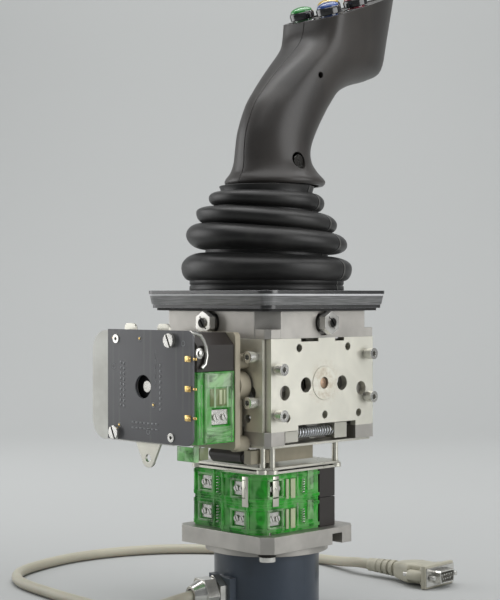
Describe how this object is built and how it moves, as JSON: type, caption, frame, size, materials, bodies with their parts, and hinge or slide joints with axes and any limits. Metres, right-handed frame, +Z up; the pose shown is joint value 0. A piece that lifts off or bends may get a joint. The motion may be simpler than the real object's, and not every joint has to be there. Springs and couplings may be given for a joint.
{
  "type": "industrial joystick",
  "caption": "Two-axis industrial joystick with a twist grip, push buttons, rubber bellows, gimbal body, clear switch blocks, an encoder and a plugged cord.",
  "frame": {"origin": "centre of the encoder's base face, on the surface that it stands on", "axes": "+Z up the stick, +Y the way that the grip faces, -Y the side of the front switch unit"},
  "size_m": [0.2708, 0.2531, 0.3993],
  "materials": {
    "encoder_paint": "satin",
    "cast_aluminium": "cast",
    "nickel": "satin",
    "steel": "turned",
    "green_plastic": "clear",
    "dark_plastic": "moulded",
    "cream_plastic": "moulded",
    "beige_plastic": "moulded",
    "board": "lacquered",
    "black_rubber": "soft sheen",
    "plate_metal": "satin",
    "grip_plastic": "fine grain",
    "cord_plastic": "smooth",
    "cap_green": "glossy",
    "cap_blue": "glossy",
    "cap_yellow": "glossy",
    "cap_red": "glossy"
  },
  "bodies": {
    "base": {"encoder_body": "encoder_paint", "cable_gland": "nickel", "cable": "cord_plastic", "strain_relief": "cord_plastic", "plug_hood": "cord_plastic", "plug_shell": "nickel", "bottom_flange": "cast_aluminium", "flange_screws": "steel", "switch_level_lower": "green_plastic", "switch_level_upper": "green_plastic", "block_ends": "dark_plastic", "block_terminals": "nickel", "switch_plates": "nickel", "spacer_posts": "nickel", "stop_bar": "beige_plastic", "spring_barrel": "dark_plastic", "carrier_plate": "nickel", "lower_frame": "cast_aluminium", "side_plate_right": "nickel", "side_plate_front": "nickel", "side_plate_left": "nickel", "side_plate_rear": "nickel", "side_plate_screws": "steel", "upper_housing": "cast_aluminium", "clamp_bolts": "steel", "tilt_bushes": "nickel", "plate_gasket": "black_rubber", "top_plate": "plate_metal", "bellows": "black_rubber", "centring_spring_x": "steel", "centring_spring_y": "steel", "unit_spacer": "beige_plastic", "contact_block": "green_plastic", "insulator_block": "dark_plastic", "unit_terminals": "nickel", "lug_plate": "nickel", "backing_plate": "cream_plastic", "circuit_board": "board", "board_screws": "steel"},
    "gimbal": {"gimbal_ring": "steel"},
    "stick": {"stick_fork": "steel", "stick_tube": "steel"},
    "grip": {"twist_rod": "steel", "grip_shell_left": "grip_plastic", "grip_shell_right": "grip_plastic", "head_panel": "grip_plastic", "grip_screws": "steel"},
    "green_button": {"button_green": "cap_green"},
    "blue_button": {"button_blue": "cap_blue"},
    "yellow_button": {"button_yellow": "cap_yellow"},
    "red_button": {"button_red": "cap_red"},
    "bail": {"bail": "steel", "cam_shaft": "steel"},
    "twist_drive": {"drive_cup": "steel", "twist_shaft": "steel"},
    "seat_x_low": {"seat_x_low": "nickel"},
    "seat_x_high": {"seat_x_high": "nickel"},
    "seat_y_low": {"seat_y_low": "nickel"},
    "seat_y_high": {"seat_y_high": "nickel"}
  },
  "joints": [
    {"name": "tilt_x", "type": "hinge", "parent": "base", "child": "gimbal", "pos_m": [0, 0, 0.1431], "axis": [1, 0, 0], "range_deg": [-18, 18], "stiffness_Nm_per_rad": 10, "deforming": ["bellows"]},
    {"name": "tilt_y", "type": "hinge", "parent": "gimbal", "child": "stick", "pos_m": [0, 0, 0.1431], "axis": [0, 1, 0], "range_deg": [-18, 18], "stiffness_Nm_per_rad": 10, "deforming": ["bellows"]},
    {"name": "twist", "type": "hinge", "parent": "stick", "child": "grip", "pos_m": [0, 0, 0.1431], "axis": [0, 0, 1], "range_deg": [-30, 30], "stiffness_Nm_per_rad": 1.2},
    {"name": "bail_turn", "type": "hinge", "parent": "base", "child": "bail", "pos_m": [0, 0, 0.1431], "axis": [0, 1, 0], "range_deg": [-18, 18]},
    {"name": "twist_drive_turn", "type": "hinge", "parent": "base", "child": "twist_drive", "pos_m": [0, 0, 0.1431], "axis": [0, 0, 1], "range_deg": [-30, 30]},
    {"name": "green_button_press", "type": "slide", "parent": "grip", "child": "green_button", "axis": [0, 0.3256, -0.9455], "range_m": [0, 0.0015], "stiffness_N_per_m": 900},
    {"name": "blue_button_press", "type": "slide", "parent": "grip", "child": "blue_button", "axis": [0, 0.3256, -0.9455], "range_m": [0, 0.0015], "stiffness_N_per_m": 900},
    {"name": "yellow_button_press", "type": "slide", "parent": "grip", "child": "yellow_button", "axis": [0, 0.3256, -0.9455], "range_m": [0, 0.0015], "stiffness_N_per_m": 900},
    {"name": "red_button_press", "type": "slide", "parent": "grip", "child": "red_button", "axis": [0, 0.3256, -0.9455], "range_m": [0, 0.0015], "stiffness_N_per_m": 900},
    {"name": "seat_x_low_slide", "type": "slide", "parent": "base", "child": "seat_x_low", "axis": [1, 0, 0], "range_m": [0, 0.009], "stiffness_N_per_m": 2500, "deforming": ["centring_spring_x"]},
    {"name": "seat_x_high_slide", "type": "slide", "parent": "base", "child": "seat_x_high", "axis": [-1, 0, 0], "range_m": [0, 0.009], "stiffness_N_per_m": 2500, "deforming": ["centring_spring_x"]},
    {"name": "seat_y_low_slide", "type": "slide", "parent": "base", "child": "seat_y_low", "axis": [0, 1, 0], "range_m": [0, 0.009], "stiffness_N_per_m": 2500, "deforming": ["centring_spring_y"]},
    {"name": "seat_y_high_slide", "type": "slide", "parent": "base", "child": "seat_y_high", "axis": [0, -1, 0], "range_m": [0, 0.009], "stiffness_N_per_m": 2500, "deforming": ["centring_spring_y"]}
  ],
  "couplings": [
    {"joint": "bail_turn", "follows": "tilt_y", "ratio": 1},
    {"joint": "twist_drive_turn", "follows": "twist", "ratio": 1}
  ]
}
